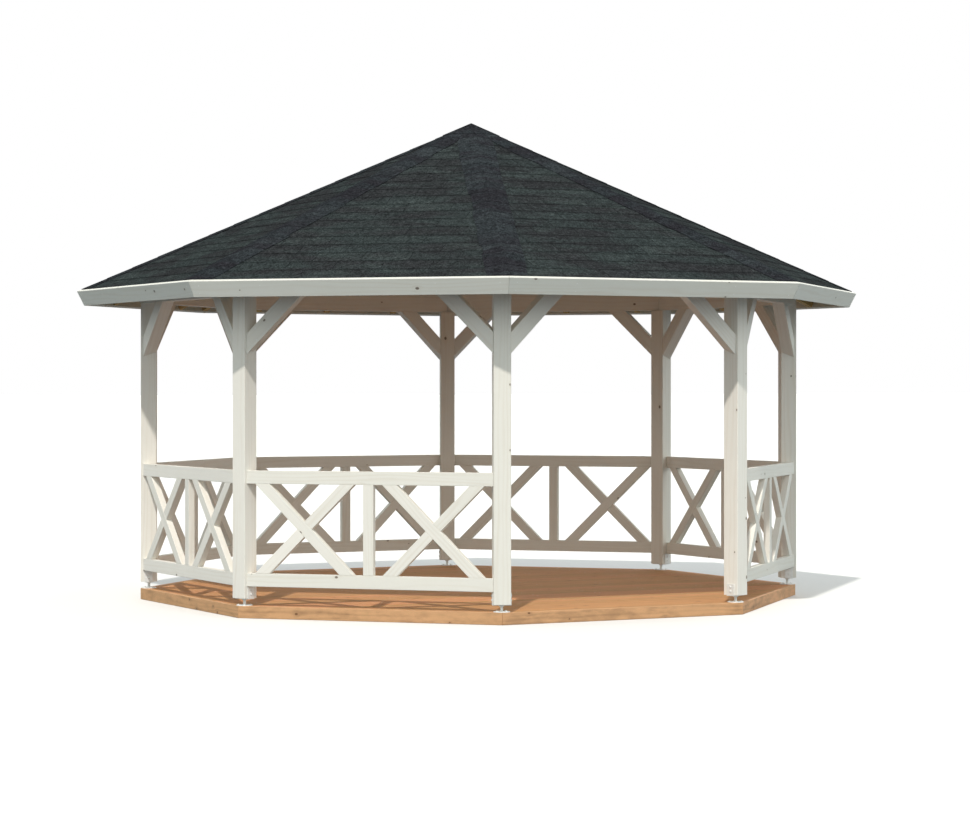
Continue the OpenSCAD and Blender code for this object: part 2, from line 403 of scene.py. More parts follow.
class Finish:
    """A procedural material, with short calls for the nodes it is made of."""

    def __init__(self, name):
        self.material = bpy.data.materials.new(name)
        self.material.use_nodes = True
        self.tree = self.material.node_tree
        self.shader = self.tree.nodes["Principled BSDF"]

    def connect(self, socket, value):
        """Links a node's output to the socket, or sets a constant."""
        if isinstance(value, bpy.types.NodeSocket):
            self.tree.links.new(value, socket)
        elif hasattr(value, "__len__"):
            socket.default_value = tuple(value) + (1.0,) * (len(socket.default_value) - len(value))
        else:
            socket.default_value = value

    def node(self, kind, settings=None, **inputs):
        """Adds a node; inputs are named as its sockets are, with _ for a space."""
        made = self.tree.nodes.new("ShaderNode" + kind)
        for key, value in (settings or {}).items():
            setattr(made, key, value)
        for key, value in inputs.items():
            self.connect(made.inputs[key.replace("_", " ")], value)
        return made

    def math(self, operation, *values, clamp=False):
        """One arithmetic step."""
        made = self.tree.nodes.new("ShaderNodeMath")
        made.operation = operation
        made.use_clamp = clamp
        for socket, value in zip(made.inputs, values):
            self.connect(socket, value)
        return made.outputs[0]

    def times(self, first, second):
        """One value times another."""
        return self.math("MULTIPLY", first, second)

    def plus(self, first, second, clamp=False):
        """One value plus another."""
        return self.math("ADD", first, second, clamp=clamp)

    def minus(self, first, second):
        """One value less another."""
        return self.math("SUBTRACT", first, second)

    def mix(self, factor, first, second):
        """A colour between two colours."""
        made = self.tree.nodes.new("ShaderNodeMix")
        made.data_type = "RGBA"
        self.connect(made.inputs[0], factor)
        self.connect(made.inputs[6], first)
        self.connect(made.inputs[7], second)
        return made.outputs[2]

    def ramp(self, value, low, high, out_low=0.0, out_high=1.0):
        """A smooth step from out_low to out_high as value goes from low to high."""
        made = self.node("MapRange", {"interpolation_type": "SMOOTHSTEP"}, Value=value)
        ends = {"From Min": low, "From Max": high, "To Min": out_low, "To Max": out_high}
        for name, number in ends.items():
            self.connect(made.inputs[name], number)
        return made.outputs[0]

    def noise(self, vector, scale, detail=2.0, roughness=0.5):
        """Soft noise from 0 to 1."""
        made = self.node("TexNoise", Vector=vector, Scale=scale, Detail=detail, Roughness=roughness)
        return made.outputs[0]

    def vector(self, x, y, z):
        """A vector from three values."""
        return self.node("CombineXYZ", X=x, Y=y, Z=z).outputs[0]

    def stretched(self, place, scales, detail, roughness=0.5):
        """Soft noise with one scale along a part and another round it or down it."""
        x, y, z = place
        at = self.vector(self.times(x, scales[0]), self.times(y, scales[1]), z)
        return self.noise(at, 1.0, detail, roughness)

    def grain(self):
        """Distance along and round a board, and the board's own number."""
        read = self.node("Attribute", {"attribute_name": "grain"})
        split = self.node("SeparateXYZ", Vector=read.outputs["Vector"])
        return split.outputs[0], split.outputs[1], split.outputs[2]

    def bump(self, height, distance, strength):
        """Relief from a height value."""
        made = self.node("Bump", Height=height, Distance=distance, Strength=strength)
        self.tree.links.new(made.outputs[0], self.shader.inputs["Normal"])

    def surface(self, color, roughness, metallic=0.0, specular=0.5):
        """Sets the shader's main values."""
        self.connect(self.shader.inputs["Base Color"], color)
        self.connect(self.shader.inputs["Roughness"], roughness)
        self.shader.inputs["Metallic"].default_value = metallic
        self.shader.inputs["Specular IOR Level"].default_value = specular


def shaded(color, share):
    """The colour at a share of its brightness."""
    return tuple(c * share for c in color)


def wood_finish(name, colors, figure, knots, board_change, roughness, sheen, blotch):
    """Sawn softwood: growth lines that bend round knots, fibres, and a tone of each board's own.

    colors are the wood's, its grain's and its knots'. figure is how strongly the grain shows, knots the
    share of places that have one, board_change how much boards differ in tone, and blotch how strong
    the patches are.
    """
    finish = bpy.data.materials.get(name)
    if finish:
        return finish
    f = Finish(name)
    light, deep, knot_color = colors
    along, around, board = f.grain()

    # Knots, scattered over the board's faces
    knot_along, knot_around = 2.3, 8.5
    place_x = f.math("MULTIPLY_ADD", along, knot_along, f.times(board, 5.73))
    place_y = f.math("MULTIPLY_ADD", around, knot_around, f.times(board, 3.19))
    place = f.vector(place_x, place_y, 0.0)
    cells = f.node("TexVoronoi", {"voronoi_dimensions": "2D"}, Vector=place, Scale=1.0)
    centre = f.node("SeparateXYZ", Vector=cells.outputs["Position"])
    chance = f.node("SeparateColor", Color=cells.outputs["Color"])
    off_x = f.math("DIVIDE", f.minus(place_x, centre.outputs[0]), knot_along * 1.4)
    off_y = f.math("DIVIDE", f.minus(place_y, centre.outputs[1]), knot_around)
    square = f.plus(f.times(off_x, off_x), f.times(off_y, off_y))
    distance = f.math("SQRT", square)
    size = f.math("MULTIPLY_ADD", chance.outputs[0], 0.007, 0.0025)
    present = f.math("GREATER_THAN", chance.outputs[1], 1.0 - knots)
    shape = f.ramp(f.math("DIVIDE", distance, size), 0.75, 1.25, 1.0, 0.0)
    knot = f.times(shape, present)
    around_it = f.ramp(f.math("DIVIDE", distance, size), 0.8, 4.5, 1.0, 0.0)
    halo = f.times(around_it, present)

    # Growth lines
    bent = f.minus(around, f.times(f.times(off_y, halo), 0.75))
    drift = f.stretched((along, bent, board), (0.9, 7.0), 2.0)
    phase = f.math("MULTIPLY_ADD", drift, 26.0, f.times(bent, 190.0))
    lines = f.math("MULTIPLY_ADD", f.math("SINE", phase), 0.5, 0.5)
    lines = f.math("POWER", lines, 2.2)
    fade = f.stretched((along, around, board), (0.7, 11.0), 1.0)
    lines = f.times(lines, f.ramp(fade, 0.3, 0.65))
    fibres = f.stretched((along, bent, board), (7.0, 420.0), 3.0, 0.6)
    cloud = f.stretched((along, around, board), (1.3, 4.0), 3.0, 0.55)
    stain = f.stretched((along, around, board), (6.5, 16.0), 3.0, 0.6)
    patches = f.math("MULTIPLY_ADD", cloud, 0.45, f.times(stain, 0.55))

    # Colour
    shown = f.math("MULTIPLY", f.plus(lines, f.times(fibres, 0.5)), figure, clamp=True)
    shown = f.plus(shown, f.times(halo, figure * 0.6))
    shown = f.plus(shown, f.times(f.ramp(patches, 0.44, 0.66), blotch), clamp=True)
    color = f.mix(shown, light, deep)
    tone = f.node("TexWhiteNoise", {"noise_dimensions": "1D"}, W=board).outputs["Value"]
    change = f.math("MULTIPLY_ADD", tone, board_change, 1.0 - board_change / 2)
    change = f.plus(change, f.times(f.minus(cloud, 0.5), board_change))
    hue = f.math("MULTIPLY_ADD", tone, -0.016, 0.508)
    shade = f.node("HueSaturation", Color=color, Value=change, Hue=hue, Saturation=1.0)
    color = f.mix(f.times(knot, 0.85), shade.outputs[0], knot_color)

    rough = f.math("MULTIPLY_ADD", fibres, 0.2, roughness)
    f.surface(color, f.minus(rough, f.times(knot, 0.1)), specular=sheen)
    height = f.minus(f.times(fibres, 0.6), f.times(lines, 0.35))
    height = f.minus(height, f.times(knot, 0.5))
    f.bump(height, 0.0006, 0.5)
    return f.material


def glazed_wood():
    """Planed spruce under a thin white glaze."""
    colors = (timber().glaze, timber().glaze_grain, (0.13, 0.09, 0.06))
    return wood_finish(
        "glazed_spruce",
        colors,
        figure=0.22,
        knots=0.30,
        board_change=0.09,
        roughness=0.42,
        sheen=0.35,
        blotch=0.08,
    )


def fascia_wood():
    """Planed spruce under the glaze, greyer and darker on the fascia as painted shade."""
    colors = (timber().fascia, shaded(timber().glaze_grain, 0.9), (0.12, 0.085, 0.06))
    return wood_finish(
        "fascia_glaze_painted_shade",
        colors,
        figure=0.22,
        knots=0.30,
        board_change=0.06,
        roughness=0.42,
        sheen=0.35,
        blotch=0.08,
    )


def deck_wood():
    """Stained deck boards."""
    colors = (timber().deck, shaded(timber().deck, 0.55), (0.16, 0.06, 0.025))
    return wood_finish(
        "stained_deck",
        colors,
        figure=0.45,
        knots=0.5,
        board_change=0.26,
        roughness=0.62,
        sheen=0.12,
        blotch=0.25,
    )


def rim_wood():
    """Stained boards round the deck."""
    colors = (timber().rim, shaded(timber().rim, 0.55), (0.17, 0.08, 0.035))
    return wood_finish(
        "stained_rim",
        colors,
        figure=0.38,
        knots=0.8,
        board_change=0.26,
        roughness=0.5,
        sheen=0.3,
        blotch=0.6,
    )


def raw_wood():
    """Untreated roof timber."""
    colors = (timber().raw, shaded(timber().raw, 0.6), (0.20, 0.10, 0.05))
    return wood_finish(
        "raw_spruce",
        colors,
        figure=0.5,
        knots=0.5,
        board_change=0.2,
        roughness=0.6,
        sheen=0.3,
        blotch=0.2,
    )


def felt(name="shingle_felt", tint=(1.0, 1.0, 1.0)):
    """Mineral-granule felt: long blends of two tones over the tabs, and painted shade in a soft line
    along each butt and a darker band under the next course.
    """
    made = bpy.data.materials.get(name)
    if made:
        return made
    r = roof()
    f = Finish(name)
    along, down, tab = f.grain()
    lap = f.node("Attribute", {"attribute_name": "lap"}).outputs["Fac"]
    place = f.vector(along, down, f.times(tab, 0.37))

    # Blends of tone that run over several tabs, and a tone of each tab's own
    blend = f.ramp(f.stretched((along, down, 0.0), (1.5, 4.6), 3.0, 0.6), 0.40, 0.60)
    strip = f.stretched((along, down, tab), (3.6, 11.0), 3.0, 0.6)
    tone = f.node("TexWhiteNoise", {"noise_dimensions": "1D"}, W=tab).outputs["Value"]
    tones = [tuple(c * t for c, t in zip(part, tint)) for part in (r.felt_dark, r.felt, r.felt_light)]
    color = f.mix(blend, tones[0], tones[1])
    level = f.plus(f.times(tone, 0.3), f.times(strip, 0.7))
    lightened = f.times(f.ramp(level, 0.42, 0.85), f.math("MULTIPLY_ADD", blend, 0.6, 0.4))
    color = f.mix(lightened, color, tones[2])

    # Granules
    grit = f.node("TexVoronoi", {"voronoi_dimensions": "3D"}, Vector=place, Scale=430.0)
    speck = f.node("SeparateColor", Color=grit.outputs["Color"])
    coarse = f.ramp(f.noise(place, 85.0, 2.0, 0.7), 0.34, 0.66)
    patchy = f.noise(place, 30.0, 2.0, 0.6)
    bright = f.math("MULTIPLY_ADD", speck.outputs[0], 0.8, 0.6)
    bright = f.times(bright, f.math("MULTIPLY_ADD", coarse, 0.8, 0.6))
    bright = f.times(bright, f.math("MULTIPLY_ADD", patchy, 1.6, 0.2))
    # Painted shade: the felt is a little darker right at each tab's butt
    edge = f.ramp(lap, 0.0, 0.03, 0.93, 1.0)
    # Painted shade: a darker band from just below the next course's butt up to the tab's head
    painted_shade_under_course = f.ramp(lap, 0.36, 0.44, 1.0, 0.8)
    bright = f.times(bright, f.times(edge, painted_shade_under_course))
    shade = f.node("HueSaturation", Color=color, Value=bright, Hue=0.5, Saturation=1.0)
    f.surface(shade.outputs[0], f.math("MULTIPLY_ADD", speck.outputs[1], 0.12, 0.86), specular=0.0)
    pits = f.times(grit.outputs["Distance"], -0.6)
    height = f.plus(pits, f.times(coarse, 0.8))
    f.bump(height, 0.0015, 0.45)
    return f.material


def zinc():
    """Hot-dip galvanised steel, with its dull spangle and a few dark scuffs."""
    made = bpy.data.materials.get("dull_zinc")
    if made:
        return made
    f = Finish("dull_zinc")
    place = f.node("TexCoord").outputs["Object"]
    spangle = f.node("TexVoronoi", {"voronoi_dimensions": "3D"}, Vector=place, Scale=170.0)
    tone = f.node("SeparateColor", Color=spangle.outputs["Color"])
    scuff = f.noise(place, 60.0, 4.0, 0.7)
    color = feet().zinc
    base = f.mix(f.times(tone.outputs[0], 0.5), color, shaded(color, 0.8))
    base = f.mix(f.ramp(scuff, 0.56, 0.72, 0.0, 0.35), base, shaded(color, 0.5))
    f.surface(base, f.math("MULTIPLY_ADD", tone.outputs[1], 0.22, 0.36), metallic=0.2)
    f.bump(scuff, 0.0003, 0.4)
    return f.material


# ---------------------------------------------------------------- gathering parts into pieces


class Gather:
    """Collects many small parts and makes one object of them."""

    def __init__(self):
        self.verts = []
        self.faces = []
        self.grain = []
        self.lap = []

    def add(self, points, faces, grain=None, laps=None):
        """Adds a part. grain gives (along, around, number) for each point, and laps a number."""
        start = len(self.verts)
        self.verts.extend(points)
        for face in faces:
            self.faces.append([start + i for i in face])
            for i in face:
                self.grain.extend(grain[i] if grain else (0.0, 0.0, 0.0))
                self.lap.append(laps[i] if laps else 0.0)

    def add_timber(self, bm, number, axis):
        """Adds a closed solid as a timber whose grain runs along axis."""
        bm.normal_update()
        across = axis.orthogonal().normalized()
        up = axis.cross(across)
        slide = (number * 0.7319) % 5.0
        start = len(self.verts)
        self.verts.extend(v.co.copy() for v in bm.verts)
        bm.verts.index_update()
        for face in bm.faces:
            self.faces.append([start + v.index for v in face.verts])
            round_way = axis.cross(face.normal)
            for vert in face.verts:
                if round_way.length < 0.6:
                    self.grain.extend((vert.co.dot(across) * 0.3 + slide, vert.co.dot(up), number))
                else:
                    place = vert.co.dot(round_way.normalized())
                    self.grain.extend((vert.co.dot(axis) + slide, place + round_way.z * 0.31, number))
                self.lap.append(0.0)

    def build(self, name, material, slot, *nodes):
        """Makes the object, rides it on the body and hides the given CAD nodes."""
        if not self.faces:
            raise RuntimeError(f"{name} has no faces")
        mesh = bpy.data.meshes.new(name)
        mesh.from_pydata([tuple(v) for v in self.verts], [], self.faces)
        grain = mesh.attributes.new("grain", "FLOAT_VECTOR", "CORNER")
        grain.data.foreach_set("vector", self.grain)
        lap = mesh.attributes.new("lap", "FLOAT", "CORNER")
        lap.data.foreach_set("value", self.lap)
        mesh.validate()
        mesh.materials.append(material)
        piece = bpy.data.objects.new(name, mesh)
        bpy.context.scene.collection.objects.link(piece)
        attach(piece, BODY)
        if nodes:
            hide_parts(*nodes)


def soften(bm, width, segments=2):
    """Rounds every edge of a solid."""
    bmesh.ops.bevel(
        bm,
        geom=bm.edges[:],
        offset=width,
        segments=segments,
        profile=0.5,
        affect="EDGES",
        clamp_overlap=True,
    )


def cut_solid(bm, cuts):
    """Cuts a closed solid with planes, given as (point, normal), and drops what lies outside."""
    for point, normal in cuts:
        everything = bm.verts[:] + bm.edges[:] + bm.faces[:]
        bmesh.ops.bisect_plane(
            bm, geom=everything, plane_co=point, plane_no=normal, dist=1e-6, clear_outer=True
        )
        open_edges = [e for e in bm.edges if e.is_boundary]
        if open_edges:
            bmesh.ops.holes_fill(bm, edges=open_edges, sides=0)
    return bool(bm.faces)


def box_solid(low, high, place=None):
    """A box between two corners, as a new bmesh."""
    bm = bmesh.new()
    bmesh.ops.create_cube(bm, size=1.0)
    low, high = Vector(low), Vector(high)
    size = high - low
    middle = (low + high) / 2
    for vert in bm.verts:
        vert.co = Vector((vert.co.x * size.x, vert.co.y * size.y, vert.co.z * size.z)) + middle
        if place is not None:
            vert.co = place(vert.co)
    bmesh.ops.recalc_face_normals(bm, faces=bm.faces[:])
    return bm


def node_solids(node):
    """Each separate solid of a CAD node as a clean bmesh of flat faces."""
    whole = bmesh.new()
    whole.from_mesh(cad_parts[node].data)
    bmesh.ops.remove_doubles(whole, verts=whole.verts[:], dist=2e-5)
    bmesh.ops.dissolve_limit(
        whole,
        angle_limit=math.radians(0.5),
        verts=whole.verts[:],
        edges=whole.edges[:],
        use_dissolve_boundaries=False,
    )
    solids = []
    left = set(whole.verts)
    while left:
        island, edge = set(), [next(iter(left))]
        while edge:
            vert = edge.pop()
            if vert in island:
                continue
            island.add(vert)
            edge.extend(e.other_vert(vert) for e in vert.link_edges)
        left -= island
        solids.append(copy_island(island))
    whole.free()
    # The order doesn't depend on where vertices happen to be in memory
    solids.sort(key=lambda bm: tuple(round(c, 4) for c in centre_of(bm)))
    return solids


def copy_island(island):
    """A bmesh of the faces round a set of joined vertices."""
    verts = sorted(island, key=lambda v: v.index)
    bm = bmesh.new()
    made = {v: bm.verts.new(v.co) for v in verts}
    faces = sorted({f for v in verts for f in v.link_faces}, key=lambda f: f.index)
    for face in faces:
        bm.faces.new([made[v] for v in face.verts])
    bm.normal_update()
    return bm


def centre_of(bm):
    """The middle of a solid's vertices."""
    return sum((v.co for v in bm.verts), Vector()) / len(bm.verts)


def timbers(name, material, slot, nodes, number, edge=None, axis=None):
    """One piece of all the timbers in some CAD nodes, with rounded edges and their own grain."""
    gather = Gather()
    for node in nodes:
        for bm in node_solids(node):
            number += 1
            way = axis
            if way is None:
                longest = max(bm.edges, key=lambda e: e.calc_length())
                way = (longest.verts[1].co - longest.verts[0].co).normalized()
            soften(bm, timber().edge if edge is None else edge)
            gather.add_timber(bm, number, way)
            bm.free()
    gather.build(name, material, slot, *nodes)


# ---------------------------------------------------------------- deck


def octagon_cuts(apothem):
    """Eight upright planes round the axis."""
    cuts = []
    for k in range(SIDES):
        normal = side_turn(k) @ Vector((0, -1, 0))
        cuts.append((normal * apothem, normal))
    return cuts


class GAZEBO_OT_deck(bpy.types.Operator):
    """Deck boards, rim boards and joists"""

    bl_idname = "gazebo.deck"
    bl_label = "Deck"

    def execute(self, context):
        timbers("deck_joists", deck_wood(), "deck_wood", ["floor_joists"], 100)
        timbers("deck_rim", rim_wood(), "deck_wood", ["floor_rim"], 120)
        t = timber()
        gather = Gather()
        shuffle = random.Random(3)
        pitch = t.plank_width + t.plank_gap
        rows = math.ceil(DECK_HALF / pitch)
        cuts = octagon_cuts(DECK_HALF - 0.002)
        # Past the deck on both sides, where the cuts trim each board
        beyond = 3.0
        for row in range(-rows, rows + 1):
            low = row * pitch - t.plank_width / 2
            sunk = shuffle.uniform(0.0, 0.0006)
            high = low + t.plank_width
            bm = box_solid((-beyond, low, DECK_LOW + 0.0005), (beyond, high, DECK_TOP - sunk))
            if not cut_solid(bm, cuts):
                bm.free()
                continue
            soften(bm, PLANK_EDGE)
            gather.add_timber(bm, 200 + row, Vector((1, 0, 0)))
            bm.free()
        gather.build("deck_planks", deck_wood(), "deck_wood", "floor_boards")
        return {"FINISHED"}


# ---------------------------------------------------------------- frame


class GAZEBO_OT_posts(bpy.types.Operator):
    """The eight posts"""

    bl_idname = "gazebo.posts"
    bl_label = "Posts"

    def execute(self, context):
        for k in range(1, SIDES + 1):
            name = f"post_{k}"
            timbers(f"{name}_timber", glazed_wood(), "white_wood", [name], 300 + k, timber().post_edge)
        return {"FINISHED"}


class GAZEBO_OT_railings(bpy.types.Operator):
    """Rails, stiles and crosses of the seven railings"""

    bl_idname = "gazebo.railings"
    bl_label = "Railings"

    def execute(self, context):
        for k in range(1, SIDES):
            timbers(f"railing_{k}_boards", glazed_wood(), "white_wood", [f"railing_{k}"], 400 + 12 * k)
        return {"FINISHED"}


class GAZEBO_OT_beams(bpy.types.Operator):
    """Wall beams and knee braces"""

    bl_idname = "gazebo.beams"
    bl_label = "Beams and braces"

    def execute(self, context):
        for k in range(SIDES):
            timbers(f"braces_{k}_pair", glazed_wood(), "white_wood", [f"braces_{k}"], 520 + 3 * k)
            timbers(f"beam_{k}_timber", glazed_wood(), "white_wood", [f"beam_{k}"], 560 + k)
        return {"FINISHED"}


# ---------------------------------------------------------------- steel feet


def turned_faces(rows, segments):
    """Faces of a turned part with that many rows of quads, closed at both ends."""
    faces = []
    for row in range(rows):
        for i in range(segments):
            j = (i + 1) % segments
            a, b = row * segments, (row + 1) * segments
            faces.append((a + i, a + j, b + j, b + i))
    faces.append(tuple(reversed(range(segments))))
    faces.append(tuple(range(rows * segments, (rows + 1) * segments)))
    return faces


def ring_point(place, radius, i, segments, z):
    """Point i of a ring round place's own z axis."""
    turn = 2 * math.pi * i / segments
    return place @ Vector((radius * math.cos(turn), radius * math.sin(turn), z))


def add_disc(gather, place, radius, low, high, segments, chamfer=0.001):
    """A round plate, or a nut or bolt head of six segments, with a chamfered top edge."""
    profile = [(radius, low), (radius, high - chamfer), (radius - chamfer, high)]
    points = [ring_point(place, r, i, segments, z) for r, z in profile for i in range(segments)]
    gather.add(points, turned_faces(len(profile) - 1, segments))


def add_thread(gather, place, radius, low, high, pitch):
    """A threaded rod."""
    segments, steps = 20, 4
    depth = 0.0011
    rows = math.ceil((high - low) / pitch * steps)
    points = []
    for row in range(rows + 1):
        z = low + (high - low) * row / rows
        for i in range(segments):
            share = ((z - low) / pitch + i / segments) % 1.0
            r = radius - depth * abs(2 * share - 1)
            points.append(ring_point(place, r, i, segments, z))
    gather.add(points, turned_faces(rows, segments))


def add_plate(gather, low, high, place):
    """A flat steel plate with eased edges."""
    bm = box_solid(low, high, lambda co: place @ co)
    soften(bm, 0.0008)
    bm.verts.index_update()
    gather.add([v.co.copy() for v in bm.verts], [[v.index for v in f.verts] for f in bm.faces])
    bm.free()


def add_bolt(gather, place, washer, head, height):
    """A washer and a hexagonal bolt head on place's plane."""
    thickness = 0.0012
    add_disc(gather, place, washer, 0.0, thickness, 20, 0.0004)
    add_disc(gather, place, head, thickness, height, 6, 0.0008)


def add_foot(gather, k):
    """Base plate, threaded rod, nut and shoe of the foot at corner k."""
    s = feet()
    place = corner_turn(k) @ Matrix.Translation((0, -POST_RING, 0))
    plate_top = DECK_TOP + s.steel
    add_disc(gather, place, s.plate_radius, DECK_TOP, plate_top, 64)
    for i in range(4):
        turn = Matrix.Rotation(math.radians(45 + 90 * i), 4, "Z")
        bolt = turn @ Matrix.Translation((s.plate_radius * 0.74, 0, plate_top))
        add_bolt(gather, place @ bolt, 0.0085, 0.0062, 0.0052)
    shoe_low = POST_LOW - s.steel
    add_thread(gather, place, s.rod_radius, plate_top, shoe_low, s.thread_pitch)
    add_disc(gather, place, s.nut_radius, shoe_low - 0.0075, shoe_low - 0.0001, 6, 0.0012)
    half, tab = s.post_width / 2, s.tab_width / 2
    outside = half + s.steel
    add_plate(gather, (-outside, -tab, shoe_low), (outside, tab, POST_LOW - 0.0001), place)
    for flip in (-1, 1):
        inner, outer = flip * half, flip * outside
        low = (min(inner, outer), -tab, shoe_low + 0.001)
        high = (max(inner, outer), tab, SHOE_TOP)
        add_plate(gather, low, high, place)
        for height in (0.35, 0.75):
            z = POST_LOW + (SHOE_TOP - POST_LOW) * height
            tilt = Matrix.Translation((outer, 0, z)) @ Matrix.Rotation(flip * math.pi / 2, 4, "Y")
            add_bolt(gather, place @ tilt, 0.009, 0.0065, 0.0055)


class GAZEBO_OT_feet(bpy.types.Operator):
    """Steel feet under the posts"""

    bl_idname = "gazebo.feet"
    bl_label = "Post feet"

    def execute(self, context):
        gather = Gather()
        for k in range(SIDES):
            add_foot(gather, k)
        gather.build("steel_feet", zinc(), "galvanised_steel", "post_feet")
        return {"FINISHED"}


def add_screw(gather, place, radius):
    """A flat screw or nail head on place's plane."""
    add_disc(gather, place, radius, -0.001, 0.0006, 12, 0.0003)


class GAZEBO_OT_screws(bpy.types.Operator):
    """Screw heads in the deck boards and the knee braces, and nail heads in the fascia"""

    bl_idname = "gazebo.screws"
    bl_label = "Screws and nails"

    def execute(self, context):
        pieces = {"deck_screws": self.deck, "brace_screws": self.braces, "fascia_nails": self.fascia}
        for name, place_them in pieces.items():
            gather = Gather()
            place_them(gather)
            gather.build(name, zinc(), "galvanised_steel")
        return {"FINISHED"}

    @staticmethod
    def deck(gather):
        """Two screws in each board over every joist."""
        pitch = timber().plank_width + timber().plank_gap
        reach = DECK_HALF - 0.04
        rows = math.floor(reach / pitch)
        for x in [centre_of(bm).x for bm in node_solids("floor_joists")]:
            for row in range(-rows, rows + 1):
                for side in (-1, 1):
                    y = row * pitch + side * timber().plank_width * 0.3
                    if max(abs(x), abs(y), (abs(x) + abs(y)) * math.sqrt(0.5)) > reach:
                        continue
                    add_screw(gather, Matrix.Translation((x, y, DECK_TOP - 0.001)), 0.0042)

    @staticmethod
    def braces(gather):
        """Two screws at each end of a brace, on its outer face."""
        low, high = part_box("braces_0")
        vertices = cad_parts["braces_0"].data.vertices
        at_post = [v.co.z for v in vertices if v.co.x > high[0] - 0.002]
        middle = (max(at_post) + low[2]) / 2
        reach = high[2] - middle
        outward = Matrix.Rotation(math.pi / 2, 4, "X")
        # How far each screw is from the post along the brace, and how far off its middle line
        nudge = 0.022
        screws = ((0.05, nudge), (0.085, -nudge), (reach - 0.09, nudge), (reach - 0.055, -nudge))
        for k in range(SIDES):
            for flip in (-1, 1):
                for inward, aside in screws:
                    x, z = high[0] - inward - aside, middle + inward - aside
                    place = side_turn(k) @ Matrix.Translation((flip * x, low[1], z)) @ outward
                    add_screw(gather, place, 0.0045)

    @staticmethod
    def fascia(gather):
        """Pairs of nails at each rafter and beside the mitres."""
        centres = [centre_of(bm) for bm in node_solids("common_rafters")]
        rafters = sorted({round(c.x, 2) for c in centres if c.y < -1.5})
        inner = [x for x in rafters if abs(x) < 0.9]
        mitre = half_width(EAVE_RUN, 0.0, 0.05)
        # The fascia's outer face looks down the slope
        lean = Matrix.Rotation(math.pi / 2 + SLOPE, 4, "X")
        face_run = EAVE_RUN + FASCIA_FACE
        for k in range(SIDES):
            for x in [-mitre] + inner + [mitre]:
                for lift in (-0.03, -0.085):
                    place = side_turn(k) @ Matrix.Translation(roof_point(x, face_run, lift)) @ lean
                    add_screw(gather, place, 0.0035)


# ---------------------------------------------------------------- roof


class GAZEBO_OT_rafters(bpy.types.Operator):
    """Hip rafters, common rafters and the king block"""

    bl_idname = "gazebo.rafters"
    bl_label = "Rafters"

    def execute(self, context):
        timbers("hip_rafter_timbers", raw_wood(), "roof_wood", ["hip_rafters"], 600)
        timbers("common_rafter_timbers", raw_wood(), "roof_wood", ["common_rafters"], 620)
        up = Vector((0, 0, 1))
        timbers("king_block_timber", raw_wood(), "roof_wood", ["king_block"], 660, axis=up)
        return {"FINISHED"}


class GAZEBO_OT_roof_boards(bpy.types.Operator):
    """Boards under the shingles, laid along the eaves"""

    bl_idname = "gazebo.roof_boards"
    bl_label = "Roof boards"

    def execute(self, context):
        low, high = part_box("roof_boards"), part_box("shingles")
        # Both layers meet the fascia, so their heights at the axis give the boards' top and bottom
        top = -(high[1][2] - low[1][2]) * math.cos(SLOPE)
        bottom = top - self.thickness()
        width = timber().soffit_width
        normal = Vector((math.cos(HALF_TURN), math.sin(HALF_TURN), 0))
        gap = 0.0006
        cuts = [(-normal * gap, normal), (-mirrored(normal) * gap, mirrored(normal))]
        # Past both hips, where the cuts trim each board
        beyond = 1.5
        gather = Gather()
        number = 700
        for k in range(SIDES):
            turn = side_turn(k)
            for row in range(math.ceil(EAVE_RUN / width)):
                run = EAVE_RUN - row * width
                upper = max(run - width + ROOF_BOARD_GAP, 0.02)
                bm = box_solid((-beyond, upper, bottom), (beyond, run, top), self.place)
                if not cut_solid(bm, cuts):
                    bm.free()
                    continue
                soften(bm, ROOF_BOARD_EDGE, 1)
                bm.transform(turn)
                number += 1
                gather.add_timber(bm, number, turn.to_3x3() @ Vector((1, 0, 0)))
                bm.free()
        gather.build("roof_planks", raw_wood(), "roof_wood", "roof_boards")
        return {"FINISHED"}

    @staticmethod
    def place(co):
        """Takes (x, run, lift) to a point on the entrance side."""
        return roof_point(co.x, co.y, co.z)

    @staticmethod
    def thickness():
        """Thickness of the CAD's roof boards, square to the slope."""
        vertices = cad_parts["roof_boards"].data.vertices
        front = [v.co for v in vertices if abs(v.co.x) < -v.co.y * math.tan(HALF_TURN)]
        lifts = [(co.z - ROOF_Z) * math.cos(SLOPE) - co.y * math.sin(SLOPE) for co in front]
        return max(lifts) - min(lifts)


def mirrored(vector):
    """The same direction on the other side of the plane x = 0."""
    return Vector((-vector.x, vector.y, vector.z))


def sheet_faces(across, steps):
    """Faces of a thin closed sheet whose points are a top grid and then the same grid underneath."""
    wide = across + 1
    under = wide * (steps + 1)
    faces = []
    for step in range(steps):
        for i in range(across):
            a = step * wide + i
            faces.append((a, a + 1, a + wide + 1, a + wide))
            faces.append((under + a, under + a + wide, under + a + wide + 1, under + a + 1))
    for i in range(across):
        faces.append((i, under + i, under + i + 1, i + 1))
        a = steps * wide + i
        faces.append((a, a + 1, under + a + 1, under + a))
    for step in range(steps):
        a = step * wide
        faces.append((a, a + wide, under + a + wide, under + a))
        b = a + across
        faces.append((b, under + b, under + b + wide, b + wide))
    return faces


